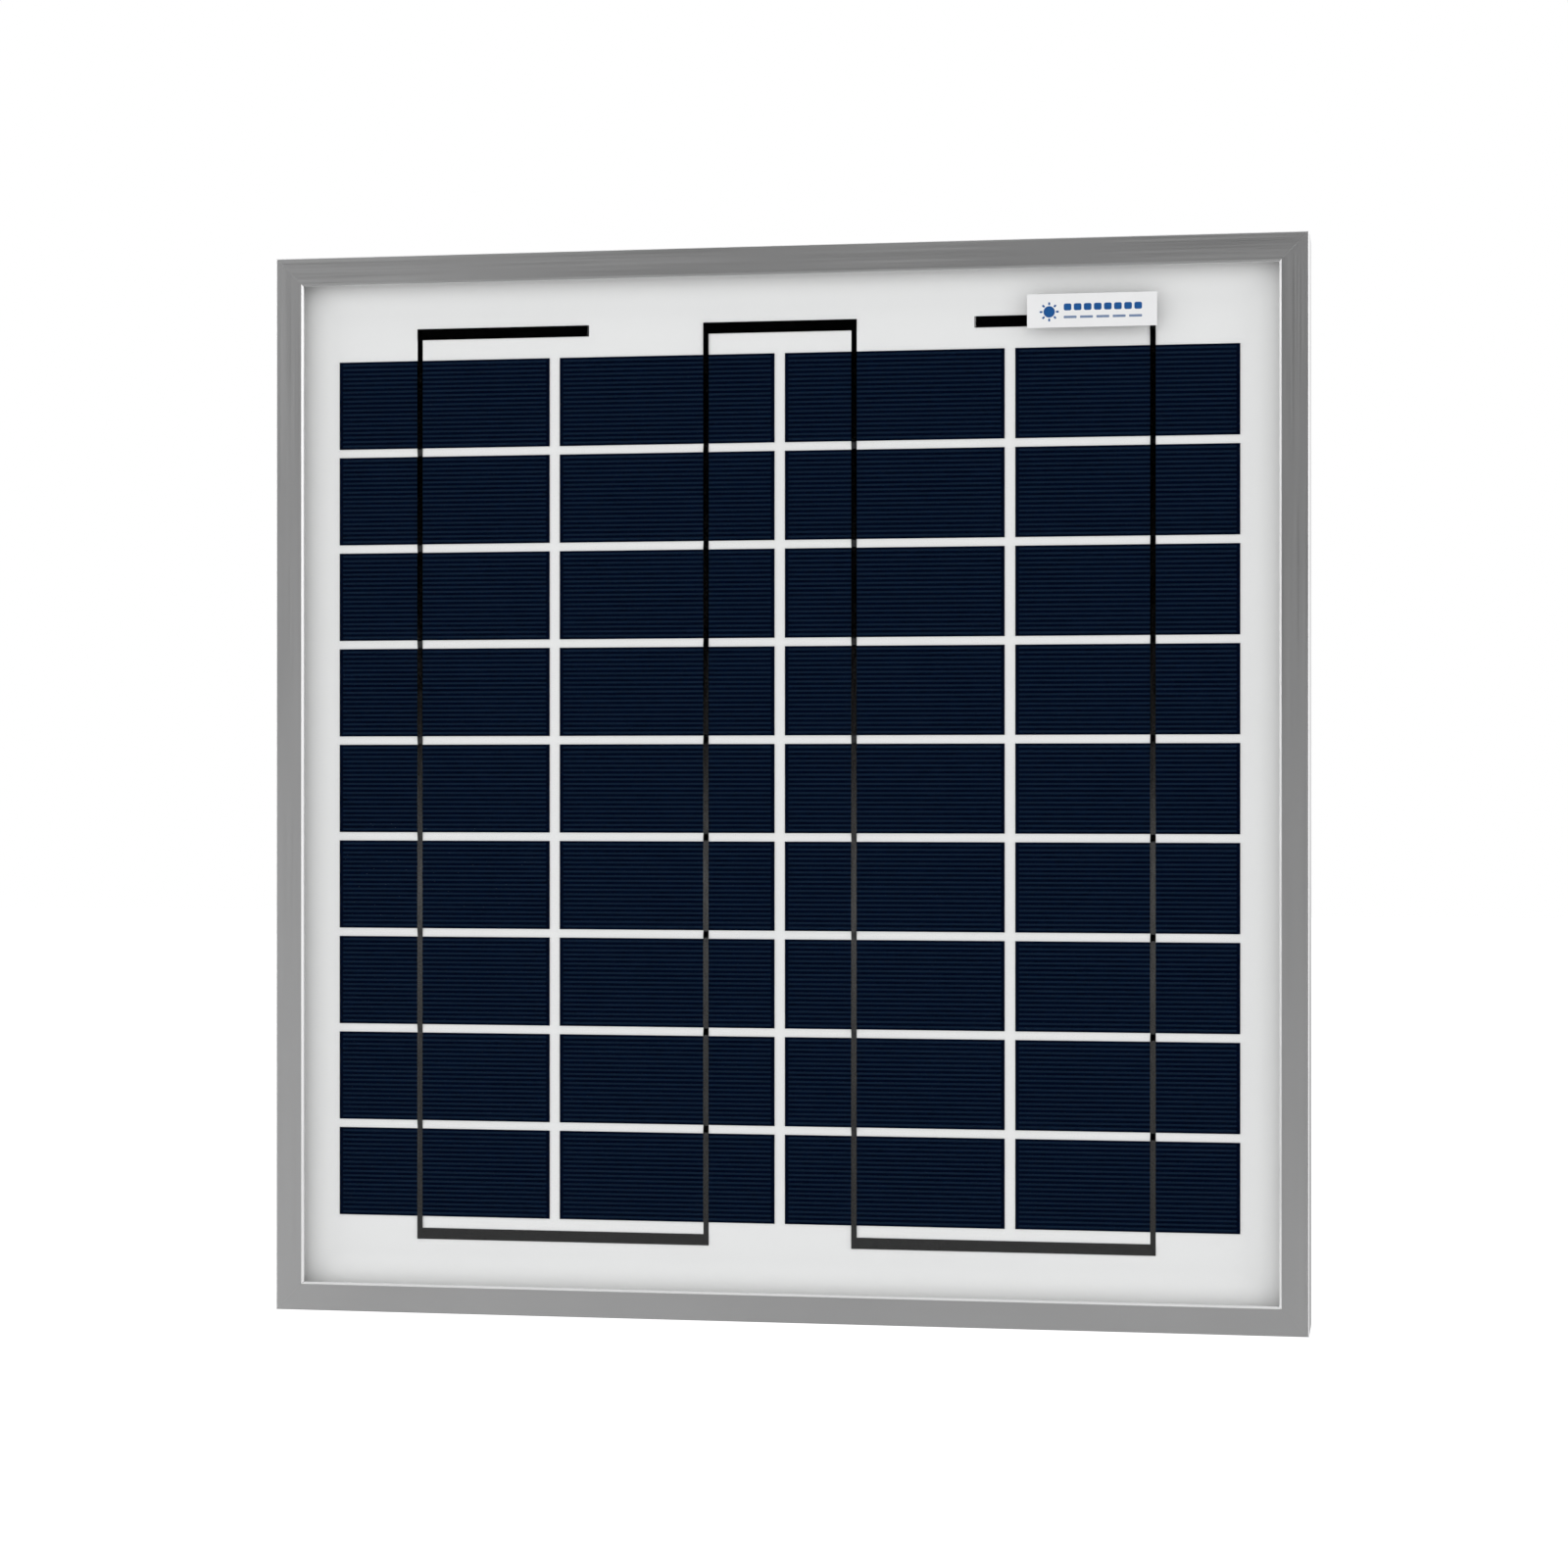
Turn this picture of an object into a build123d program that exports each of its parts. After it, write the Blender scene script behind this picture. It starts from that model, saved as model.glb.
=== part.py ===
from build123d import *

import os

# Framed solar panel of 36 cells, seen from its glass side.
# X runs to the right, Y runs from the glass to the back, and Z runs up.
# The origin is the centre of the four mounting holes, on the frame's rear plane,
# so the whole panel lies between y = -frame_depth and y = 0. Sizes are in millimetres.

# ---------------------------------------------------------------- driving dimensions

# Overall
panel_width = 306.0
panel_height = 314.5
frame_depth = 25.0

# Frame extrusion
frame_wall = 1.2
lip_width = 8.4
lip_thickness = 1.4
lip_bevel = 0.6
edge_bevel = 0.25
chamber_depth = 9.3
flange_width = 16.0
flange_thickness = 1.3
key_leg = 24.0
key_clearance = 0.1

# Holes in the rear flange
mounting_hole_diameter = 6.6
mounting_hole_inset = 9.5
mounting_hole_spacing = 170.0
earth_hole_diameter = 4.2
earth_hole_offset = 60.0

# Laminate, from the glass to the back
laminate_edge_gap = 1.0
sealant_thickness = 0.5
sealant_recess = 0.4
glass_thickness = 3.2
glass_arris = 0.4
front_encapsulant_thickness = 0.45
ribbon_thickness = 0.15
cell_thickness = 0.2
insulator_thickness = 0.1
lead_thickness = 0.2
rear_encapsulant_cover = 0.15
backsheet_thickness = 0.3
label_thickness = 0.1

# Cells: margins run from the lip's inner edge to the cells, and the whole grid lies
# a little to the left of the middle
columns = 4
rows = 9
side_margin = 10.45
top_margin = 22.4
bottom_margin = 19.75
column_gap = 3.1
row_gap = 2.5
grid_shift = -0.85

# Ribbons and bus bars
ribbon_width = 1.6
outer_ribbon_offset = 7.43
inner_ribbon_offset = 11.86
ribbon_bend_inset = 0.3
ribbon_tail_gap = 2.0
bus_width = 3.3
top_bus_gap = 6.18
bottom_bus_gap = 3.52
lead_length = 53.2
lead_step_length = 1.0
lead_step_gap = 0.1
lead_leg_inner = 10.7
insulator_overhang = 1.5

# Labels
badge_width = 37.4
badge_height = 9.7
badge_inset_x = 53.5
badge_inset_z = 12.4
rating_label_width = 90.0
rating_label_height = 55.0
rating_label_drop = 30.0

# Junction box
box_width = 72.0
box_height = 54.0
box_corner = 3.0
box_wall = 2.4
box_floor = 1.6
box_rear_recess = 2.0
lid_thickness = 2.9
lid_gap = 0.3
lid_pocket_depth = 1.1
lid_rim = 3.0
lid_chamfer = 0.8
lid_panel_width = 48.0
lid_panel_height = 30.0
lid_panel_depth = 0.4
tab_width = 16.0
tab_thickness = 1.4
tab_length = 4.2
adhesive_thickness = 0.6
adhesive_margin = 2.0
adhesive_climb = 1.2
window_width = 36.0
window_height = 7.0
slot_width = 32.0
slot_height = 3.0

# Lid gasket
gasket_inset = 0.8
gasket_width = 1.2
gasket_groove_depth = 0.8
gasket_clearance = 0.05
gasket_stand = 0.2

# Hinge
knuckle_radius = 2.6
knuckle_length = 8.0
hinge_length = 60.0
hinge_side_gap = 0.4
hinge_clearance = 0.3
hinge_to_flange = 1.75
pin_diameter = 2.0
pin_clearance = 0.05

# Terminals
rail_width = 10.0
rail_length = 30.0
rail_thickness = 0.8
rail_offset = 16.0
rail_drop = 31.0
boss_height = 2.8
boss_shrink = 2.0
terminal_screw_pitch = 14.0
screw_drop = 2.0
screw_head_radius = 2.75
screw_head_height = 1.8
screw_radius = 1.45
screw_length = 3.0
screw_hole_clearance = 0.1
screw_slot_width = 0.8
screw_slot_depth = 0.8
lead_exit_drop = 14.0
lead_tail_length = 6.6
diode_radius = 2.5
diode_length = 9.0
diode_wire_radius = 0.4
diode_wire_gap = 0.05
diode_wire_reach = 3.0

# Cable glands
gland_offset = 20.0
gland_foot_gap = 0.2
gland_hex_thickness = 3.5
gland_thread_radius = 4.0
gland_thread_out = 9.5
gland_thread_in = 7.0
gland_bore_radius = 2.7
gland_clearance = 0.1
seal_radius = 3.1
seal_bore_radius = 2.1
seal_start = 4.6
seal_length = 6.4
cap_start = 3.7
cap_length = 11.3
cap_wall = 1.4
cap_chamfer = 1.6
cap_hole_radius = 2.6
cap_end_wall = 3.6
lock_nut_wall = 0.9
lock_nut_thickness = 2.5

# ---------------------------------------------------------------- derived places

half_width = panel_width / 2
half_height = panel_height / 2
front_y = -frame_depth

# Layers of the laminate, each as its depth along Y
lip_rear = front_y + lip_thickness
glass_front = lip_rear + sealant_thickness
glass_rear = glass_front + glass_thickness
ribbon_front = glass_rear + front_encapsulant_thickness
cell_front = ribbon_front + ribbon_thickness
cell_rear = cell_front + cell_thickness
ribbon_rear = cell_rear + ribbon_thickness
insulator_rear = ribbon_rear + insulator_thickness
lead_rear = insulator_rear + lead_thickness
backsheet_front = lead_rear + rear_encapsulant_cover
backsheet_rear = backsheet_front + backsheet_thickness
groove_rear = backsheet_rear + sealant_thickness
chamber_rear = groove_rear + chamber_depth

laminate_inset = frame_wall + laminate_edge_gap
laminate_width = panel_width - 2 * laminate_inset
laminate_height = panel_height - 2 * laminate_inset
opening_half_width = half_width - lip_width
opening_half_height = half_height - lip_width

# Cell grid
grid_left = -opening_half_width + side_margin
grid_top = opening_half_height - top_margin
grid_bottom = -opening_half_height + bottom_margin
cell_width = (-2 * grid_left - (columns - 1) * column_gap) / columns
cell_height = (grid_top - grid_bottom - (rows - 1) * row_gap) / rows
column_pitch = cell_width + column_gap
row_pitch = cell_height + row_gap
first_centre = grid_shift + grid_left + cell_width / 2
column_centres = [first_centre + column * column_pitch for column in range(columns)]
row_centres = [grid_top - cell_height / 2 - row * row_pitch for row in range(rows)]
ribbon_offsets = [-outer_ribbon_offset, inner_ribbon_offset, -inner_ribbon_offset, outer_ribbon_offset]
ribbon_centres = [centre + offset for centre, offset in zip(column_centres, ribbon_offsets)]
top_bus = grid_top + top_bus_gap + bus_width / 2
bottom_bus = grid_bottom - bottom_bus_gap - bus_width / 2

# Output leads: they step behind the insulator and leave through the backsheet
lead_outer = grid_shift - ribbon_centres[0] + ribbon_width / 2
lead_end = lead_outer - lead_length
lead_leg_outer = lead_leg_inner + bus_width

# Junction box
box_rear = -box_rear_recess
lid_front = box_rear - lid_thickness
base_rear = lid_front - lid_gap
base_front = backsheet_rear + adhesive_thickness
floor_rear = base_front + box_floor
hinge_z = half_height - flange_width - hinge_to_flange - knuckle_radius
hinge_y = (lid_front + base_rear) / 2
box_top = hinge_z - knuckle_radius - hinge_clearance
box_bottom = box_top - box_height
box_middle = box_top - box_height / 2
lead_exit = box_top - lead_exit_drop
rail_front = floor_rear + boss_height
rail_rear = rail_front + rail_thickness
rail_middle = box_top - rail_drop
screw_row = rail_middle - screw_drop
screw_places = [
    (side * rail_offset, screw_row + step * terminal_screw_pitch / 2)
    for side in (-1, 1)
    for step in (-1, 1)
]
gland_hex = 2 * (gland_thread_radius + gland_clearance + cap_wall)
lock_nut_hex = 2 * (gland_thread_radius + gland_clearance + lock_nut_wall)
gland_y = base_front + adhesive_climb + gland_foot_gap + gland_hex / 2

os.makedirs("parts", exist_ok=True)


def layer(depth: float) -> Plane:
    """Drawing plane parallel to the glass, with X to the right and Z up.

    An extrusion from it runs towards the glass side.
    """
    return Plane.XZ.offset(-depth)


def side_planes() -> dict:
    """For each side of the frame: its outer front edge's plane, and its length.

    The plane's x runs inwards over the glass, and its y runs from the glass to the back.
    """
    towards_back = Vector(0, 1, 0)
    inward = {
        "top": (Vector(0, 0, -1), half_height, panel_width),
        "bottom": (Vector(0, 0, 1), half_height, panel_width),
        "left": (Vector(1, 0, 0), half_width, panel_height),
        "right": (Vector(-1, 0, 0), half_width, panel_height),
    }
    planes = {}
    for side, (direction, reach, length) in inward.items():
        edge = Vector(0, front_y, 0) - direction * reach
        planes[side] = (Plane(origin=edge, x_dir=direction, z_dir=direction.cross(towards_back)), length)
    return planes


# ---------------------------------------------------------------- frame

# Section of the extrusion: a lip over the glass, a groove for the laminate,
# a hollow chamber for the corner keys, and a flange along the back.
groove_depth_end = groove_rear - front_y
chamber_depth_end = chamber_rear - front_y
flange_start = frame_depth - flange_thickness
section_outline = [
    (edge_bevel, 0),
    (lip_width - lip_bevel, 0),
    (lip_width, lip_bevel),
    (lip_width, lip_thickness),
    (frame_wall, lip_thickness),
    (frame_wall, groove_depth_end),
    (lip_width, groove_depth_end),
    (lip_width, chamber_depth_end),
    (frame_wall, chamber_depth_end),
    (frame_wall, flange_start),
    (flange_width, flange_start),
    (flange_width, frame_depth),
    (edge_bevel, frame_depth),
    (0, frame_depth - edge_bevel),
    (0, edge_bevel),
]
cavity_width = lip_width - 2 * frame_wall
cavity_depth = chamber_depth - 2 * frame_wall
hole_x = half_width - mounting_hole_inset
hole_z = mounting_hole_spacing / 2
flange_holes = {
    "left": ([(-hole_x, hole_z), (-hole_x, -hole_z)], mounting_hole_diameter),
    "right": ([(hole_x, hole_z), (hole_x, -hole_z)], mounting_hole_diameter),
    "bottom": ([(-earth_hole_offset, -half_height + mounting_hole_inset)], earth_hole_diameter),
}

for side, (edge_plane, length) in side_planes().items():
    with BuildPart() as frame_member:
        with BuildSketch(edge_plane):
            with BuildLine():
                Polyline(*section_outline, close=True)
            make_face()
            with Locations((lip_width / 2, groove_depth_end + chamber_depth / 2)):
                Rectangle(cavity_width, cavity_depth, mode=Mode.SUBTRACT)
        extrude(amount=length / 2, both=True)
        # Each end is cut at 45 degrees to meet its neighbour
        for end in (-1, 1):
            along = edge_plane.z_dir * end
            corner = edge_plane.origin + along * (length / 2)
            split(bisect_by=Plane(origin=corner, z_dir=along + edge_plane.x_dir), keep=Keep.BOTTOM)
        if side in flange_holes:
            places, diameter = flange_holes[side]
            with BuildSketch(layer(0)):
                with Locations(*places):
                    Circle(diameter / 2)
            extrude(amount=flange_thickness, mode=Mode.SUBTRACT)
    frame_member.part.label = f"frame_{side}"
    export_step(frame_member.part, f"parts/frame_{side}.step")

# Corner keys: solid L-shaped blocks pressed into the chambers of two members
key_near = frame_wall + key_clearance
key_far = lip_width - frame_wall - key_clearance
key_end = key_near + key_leg
cavity_rear = chamber_rear - frame_wall

for height_name, up in (("top", 1), ("bottom", -1)):
    for side_name, right in (("left", -1), ("right", 1)):
        corner_x = right * half_width
        corner_z = up * half_height
        key_outline = [
            (corner_x - right * across, corner_z - up * down)
            for across, down in (
                (key_near, key_near),
                (key_end, key_near),
                (key_end, key_far),
                (key_far, key_far),
                (key_far, key_end),
                (key_near, key_end),
            )
        ]
        with BuildPart() as corner_key:
            with BuildSketch(layer(cavity_rear - key_clearance)):
                with BuildLine():
                    Polyline(*key_outline, close=True)
                make_face()
            extrude(amount=cavity_depth - 2 * key_clearance)
        corner_key.part.label = f"corner_key_{height_name}_{side_name}"
        export_step(corner_key.part, f"parts/corner_key_{height_name}_{side_name}.step")

# Sealant: a channel-shaped band between the laminate's edge and the groove
with BuildPart() as edge_sealant:
    with BuildSketch(layer(groove_rear)):
        Rectangle(panel_width - 2 * frame_wall, panel_height - 2 * frame_wall)
        Rectangle(
            2 * (opening_half_width + sealant_recess),
            2 * (opening_half_height + sealant_recess),
            mode=Mode.SUBTRACT,
        )
    extrude(amount=groove_rear - lip_rear)
    with BuildSketch(layer(backsheet_rear)):
        Rectangle(laminate_width, laminate_height)
    extrude(amount=backsheet_rear - glass_front, mode=Mode.SUBTRACT)
edge_sealant.part.label = "edge_sealant"
export_step(edge_sealant.part, "parts/edge_sealant.step")

# ---------------------------------------------------------------- laminate

with BuildPart() as front_glass:
    with BuildSketch(layer(glass_rear)):
        Rectangle(laminate_width, laminate_height)
    extrude(amount=glass_thickness)
    chamfer(front_glass.faces().sort_by(Axis.Y)[0].edges(), length=glass_arris)
front_glass.part.label = "front_glass"
export_step(front_glass.part, "parts/front_glass.step")

with BuildPart() as front_encapsulant:
    with BuildSketch(layer(ribbon_front)):
        Rectangle(laminate_width, laminate_height)
    extrude(amount=front_encapsulant_thickness)
front_encapsulant.part.label = "front_encapsulant"
export_step(front_encapsulant.part, "parts/front_encapsulant.step")

# What the rear encapsulant flows around is collected here
embedded = []

for column, centre in enumerate(column_centres):
    with BuildPart() as cell_string:
        with BuildSketch(layer(cell_rear)):
            with Locations(*[(centre, row_centre) for row_centre in row_centres]):
                Rectangle(cell_width, cell_height)
        extrude(amount=cell_thickness)
    cell_string.part.label = f"cell_string_{column + 1}"
    export_step(cell_string.part, f"parts/cell_string_{column + 1}.step")
    embedded.append(cell_string.part)


def straight_ribbon(front: float, first: float, last: float) -> list:
    """Outline, in Y and Z, of a ribbon that lies flat against one face of a cell."""
    rear = front + ribbon_thickness
    return [(front, first), (front, last), (rear, last), (rear, first)]


def bent_ribbon(front_end: float, bend_start: float, bend_end: float, rear_end: float) -> list:
    """Outline, in Y and Z, of a ribbon from one cell's front, through the gap, to the next cell's back."""
    return [
        (ribbon_front, front_end),
        (ribbon_front, bend_start),
        (cell_rear, bend_end),
        (cell_rear, rear_end),
        (ribbon_rear, rear_end),
        (ribbon_rear, bend_end),
        (cell_front, bend_start),
        (cell_front, front_end),
    ]


def string_ribbons(downwards: bool) -> list:
    """Outlines of all ribbons of one string, whose current runs down or up the panel.

    Each front contact joins the next cell's back contact, and both ends reach a bus bar.
    """
    run = -1 if downwards else 1
    centres = row_centres if downwards else row_centres[::-1]
    half = run * cell_height / 2
    first_bus = top_bus + bus_width / 2 if downwards else bottom_bus - bus_width / 2
    last_bus = bottom_bus - bus_width / 2 if downwards else top_bus + bus_width / 2
    outlines = [straight_ribbon(cell_rear, first_bus, centres[0] + half - run * ribbon_tail_gap)]
    for this_cell, next_cell in zip(centres, centres[1:]):
        outlines.append(
            bent_ribbon(
                this_cell - half,
                this_cell + half + run * ribbon_bend_inset,
                next_cell - half - run * ribbon_bend_inset,
                next_cell + half - run * ribbon_tail_gap,
            )
        )
    outlines.append(straight_ribbon(ribbon_front, centres[-1] - half, last_bus))
    return outlines


for column, centre in enumerate(ribbon_centres):
    with BuildPart() as cell_ribbons:
        with BuildSketch(Plane.YZ.offset(centre - ribbon_width / 2)):
            for outline in string_ribbons(downwards=column % 2 == 0):
                with BuildLine():
                    Polyline(*outline, close=True)
                make_face()
        extrude(amount=ribbon_width)
    cell_ribbons.part.label = f"cell_ribbons_{column + 1}"
    export_step(cell_ribbons.part, f"parts/cell_ribbons_{column + 1}.step")
    embedded.append(cell_ribbons.part)

# Bus bars: each joins two neighbouring strings
bus_bars = {
    "bus_bar_bottom_left": (0, 1, bottom_bus),
    "bus_bar_top_middle": (1, 2, top_bus),
    "bus_bar_bottom_right": (2, 3, bottom_bus),
}
for name, (first, last, height) in bus_bars.items():
    bar_start = ribbon_centres[first] - ribbon_width / 2
    bar_end = ribbon_centres[last] + ribbon_width / 2
    with BuildPart() as bus_bar:
        with BuildSketch(layer(cell_rear)):
            with Locations(((bar_start + bar_end) / 2, height)):
                Rectangle(bar_end - bar_start, bus_width)
        extrude(amount=cell_thickness)
    bus_bar.part.label = name
    export_step(bus_bar.part, f"parts/{name}.step")
    embedded.append(bus_bar.part)

# Output leads: flat strips from the outer strings to the junction box
lead_tail_end = lead_exit - lead_tail_length
leg_outline = [
    (insulator_rear, top_bus + bus_width / 2),
    (insulator_rear, lead_exit),
    (rail_rear, lead_exit),
    (rail_rear, lead_tail_end),
    (rail_rear + lead_thickness, lead_tail_end),
    (rail_rear + lead_thickness, lead_exit + lead_thickness),
    (lead_rear, lead_exit + lead_thickness),
    (lead_rear, top_bus + bus_width / 2),
]
for polarity, side in (("positive", -1), ("negative", 1)):
    run_start = grid_shift + side * lead_outer
    step_end = grid_shift + side * (lead_end + lead_step_gap)
    step_start = step_end + side * lead_step_length
    run_outline = [
        (run_start, cell_front),
        (step_start, cell_front),
        (step_end, insulator_rear),
        (side * lead_leg_inner, insulator_rear),
        (side * lead_leg_inner, lead_rear),
        (step_end, lead_rear),
        (step_start, cell_rear),
        (run_start, cell_rear),
    ]
    leg_start = min(side * lead_leg_inner, side * lead_leg_outer)
    with BuildPart() as output_lead:
        with BuildSketch(Plane.XY.offset(top_bus - bus_width / 2)):
            with BuildLine():
                Polyline(*run_outline, close=True)
            make_face()
        extrude(amount=bus_width)
        with BuildSketch(Plane.YZ.offset(leg_start)):
            with BuildLine():
                Polyline(*leg_outline, close=True)
            make_face()
        extrude(amount=bus_width)
    output_lead.part.label = f"output_lead_{polarity}"
    export_step(output_lead.part, f"parts/output_lead_{polarity}.step")
    embedded.append(output_lead.part)

# Insulator: a white T-shaped strip that keeps the leads off the cells' backs
insulator_bottom = lead_exit - insulator_overhang
insulator_top = top_bus + bus_width / 2 + insulator_overhang
with BuildPart() as lead_insulator:
    with BuildSketch(layer(insulator_rear)):
        with Locations((grid_shift, top_bus)):
            Rectangle(2 * lead_end, bus_width + 2 * insulator_overhang)
        with Locations((0, (insulator_bottom + insulator_top) / 2)):
            Rectangle(2 * (lead_leg_outer + insulator_overhang), insulator_top - insulator_bottom)
    extrude(amount=insulator_thickness)
lead_insulator.part.label = "lead_insulator"
export_step(lead_insulator.part, "parts/lead_insulator.step")
embedded.append(lead_insulator.part)

with BuildPart() as rear_encapsulant:
    with BuildSketch(layer(backsheet_front)):
        Rectangle(laminate_width, laminate_height)
    extrude(amount=backsheet_front - ribbon_front)
    add(embedded, mode=Mode.SUBTRACT)
rear_encapsulant.part.label = "rear_encapsulant"
export_step(rear_encapsulant.part, "parts/rear_encapsulant.step")

with BuildPart() as backsheet:
    with BuildSketch(layer(backsheet_rear)):
        Rectangle(laminate_width, laminate_height)
        with Locations((0, lead_exit)):
            Rectangle(slot_width, slot_height, mode=Mode.SUBTRACT)
    extrude(amount=backsheet_thickness)
backsheet.part.label = "backsheet"
export_step(backsheet.part, "parts/backsheet.step")

# ---------------------------------------------------------------- labels

with BuildPart() as front_badge:
    with BuildSketch(layer(glass_front)):
        with Locations((opening_half_width - badge_inset_x, opening_half_height - badge_inset_z)):
            Rectangle(badge_width, badge_height)
    extrude(amount=label_thickness)
front_badge.part.label = "front_badge"
export_step(front_badge.part, "parts/front_badge.step")

with BuildPart() as rating_label:
    with BuildSketch(layer(backsheet_rear + label_thickness)):
        with Locations((0, -rating_label_drop)):
            Rectangle(rating_label_width, rating_label_height)
    extrude(amount=label_thickness)
rating_label.part.label = "rating_label"
export_step(rating_label.part, "parts/rating_label.step")

# ---------------------------------------------------------------- junction box

# Silicone bed that holds the box to the backsheet, squeezed out around its foot
with BuildPart() as box_adhesive:
    with BuildSketch(layer(base_front + adhesive_climb)):
        with Locations((0, box_middle)):
            RectangleRounded(
                box_width + 2 * adhesive_margin,
                box_height + 2 * adhesive_margin,
                box_corner + adhesive_margin,
            )
    extrude(amount=adhesive_thickness + adhesive_climb)
    chamfer(box_adhesive.faces().sort_by(Axis.Y)[-1].edges(), length=adhesive_climb)
    with BuildSketch(layer(base_front + adhesive_climb)):
        with Locations((0, box_middle)):
            RectangleRounded(box_width, box_height, box_corner)
    extrude(amount=adhesive_climb, mode=Mode.SUBTRACT)
    with BuildSketch(layer(base_front)):
        with Locations((0, lead_exit)):
            Rectangle(window_width, window_height)
    extrude(amount=adhesive_thickness, mode=Mode.SUBTRACT)
box_adhesive.part.label = "box_adhesive"
export_step(box_adhesive.part, "parts/box_adhesive.step")

knuckle_start = hinge_length / 2 - knuckle_length
lid_knuckle_half = knuckle_start - hinge_side_gap
hinge_bore_radius = pin_diameter / 2 + pin_clearance

# Tray of the box, with its terminal bosses, cable holes and two hinge knuckles
with BuildPart() as junction_box_base:
    with BuildSketch(layer(base_rear)):
        with Locations((0, box_middle)):
            RectangleRounded(box_width, box_height, box_corner)
    extrude(amount=base_rear - base_front)
    with BuildSketch(layer(base_rear)):
        with Locations((0, box_middle)):
            RectangleRounded(box_width - 2 * box_wall, box_height - 2 * box_wall, box_corner / 2)
    extrude(amount=base_rear - floor_rear, mode=Mode.SUBTRACT)
    with BuildSketch(layer(rail_front)):
        with Locations((-rail_offset, rail_middle), (rail_offset, rail_middle)):
            Rectangle(rail_width, rail_length - boss_shrink)
    extrude(amount=boss_height)
    with BuildSketch(layer(floor_rear)):
        with Locations((0, lead_exit)):
            Rectangle(window_width, window_height)
    extrude(amount=box_floor, mode=Mode.SUBTRACT)
    with BuildSketch(layer(rail_front)):
        with Locations(*screw_places):
            Circle(screw_radius + screw_hole_clearance)
    extrude(amount=screw_length, mode=Mode.SUBTRACT)
    with BuildSketch(Plane.XY.offset(box_bottom)):
        with Locations((-gland_offset, gland_y), (gland_offset, gland_y)):
            Circle(gland_thread_radius + gland_clearance)
    extrude(amount=box_wall, mode=Mode.SUBTRACT)
    for knuckle_side in (-hinge_length / 2, knuckle_start):
        with BuildSketch(Plane.YZ.offset(knuckle_side)):
            with Locations((hinge_y, hinge_z)):
                Circle(knuckle_radius)
            with BuildLine():
                Polyline(
                    (hinge_y - knuckle_radius, hinge_z),
                    (hinge_y - knuckle_radius, box_top),
                    (base_rear, box_top),
                    (base_rear, hinge_z),
                    close=True,
                )
            make_face()
        extrude(amount=knuckle_length)
    with BuildSketch(Plane.YZ.offset(-hinge_length / 2)):
        with Locations((hinge_y, hinge_z)):
            Circle(hinge_bore_radius)
    extrude(amount=hinge_length, mode=Mode.SUBTRACT)
junction_box_base.part.label = "junction_box_base"
export_step(junction_box_base.part, "parts/junction_box_base.step")

# Lid: a shallow cap with a gasket groove, a grip tab and one long knuckle
tab_outer = box_bottom - lid_gap - tab_thickness
with BuildPart() as junction_box_lid:
    with BuildSketch(layer(box_rear)):
        with Locations((0, box_middle)):
            RectangleRounded(box_width, box_height, box_corner)
    extrude(amount=lid_thickness)
    chamfer(junction_box_lid.faces().sort_by(Axis.Y)[-1].edges(), length=lid_chamfer)
    with BuildSketch(layer(box_rear)):
        with Locations((0, box_middle)):
            RectangleRounded(lid_panel_width, lid_panel_height, box_corner)
    extrude(amount=lid_panel_depth, mode=Mode.SUBTRACT)
    with BuildSketch(layer(lid_front + lid_pocket_depth)):
        with Locations((0, box_middle)):
            RectangleRounded(box_width - 2 * lid_rim, box_height - 2 * lid_rim, box_corner / 2)
    extrude(amount=lid_pocket_depth, mode=Mode.SUBTRACT)
    with BuildSketch(layer(lid_front + gasket_groove_depth)):
        with Locations((0, box_middle)):
            Rectangle(box_width - 2 * gasket_inset, box_height - 2 * gasket_inset)
            Rectangle(
                box_width - 2 * (gasket_inset + gasket_width),
                box_height - 2 * (gasket_inset + gasket_width),
                mode=Mode.SUBTRACT,
            )
    extrude(amount=gasket_groove_depth, mode=Mode.SUBTRACT)
    with BuildSketch(Plane.YZ.offset(-tab_width / 2)):
        with BuildLine():
            Polyline(
                (box_rear - lid_chamfer, box_bottom),
                (lid_front, box_bottom),
                (lid_front, box_bottom - lid_gap),
                (lid_front - tab_length, box_bottom - lid_gap),
                (lid_front - tab_length, tab_outer),
                (box_rear - lid_chamfer, tab_outer),
                close=True,
            )
        make_face()
    extrude(amount=tab_width)
    with BuildSketch(Plane.YZ.offset(-lid_knuckle_half)):
        with Locations((hinge_y, hinge_z)):
            Circle(knuckle_radius)
        with BuildLine():
            Polyline(
                (hinge_y + knuckle_radius, hinge_z),
                (hinge_y + knuckle_radius, box_top),
                (lid_front, box_top),
                (lid_front, hinge_z),
                close=True,
            )
        make_face()
    extrude(amount=2 * lid_knuckle_half)
    with BuildSketch(Plane.YZ.offset(-lid_knuckle_half)):
        with Locations((hinge_y, hinge_z)):
            Circle(hinge_bore_radius)
    extrude(amount=2 * lid_knuckle_half, mode=Mode.SUBTRACT)
junction_box_lid.part.label = "junction_box_lid"
export_step(junction_box_lid.part, "parts/junction_box_lid.step")

# Gasket: it sits in the lid's groove and stands a little proud of the rim
with BuildPart() as lid_gasket:
    with BuildSketch(layer(lid_front + gasket_groove_depth)):
        with Locations((0, box_middle)):
            Rectangle(
                box_width - 2 * (gasket_inset + gasket_clearance),
                box_height - 2 * (gasket_inset + gasket_clearance),
            )
            Rectangle(
                box_width - 2 * (gasket_inset + gasket_width - gasket_clearance),
                box_height - 2 * (gasket_inset + gasket_width - gasket_clearance),
                mode=Mode.SUBTRACT,
            )
    extrude(amount=gasket_groove_depth + gasket_stand)
lid_gasket.part.label = "lid_gasket"
export_step(lid_gasket.part, "parts/lid_gasket.step")

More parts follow.
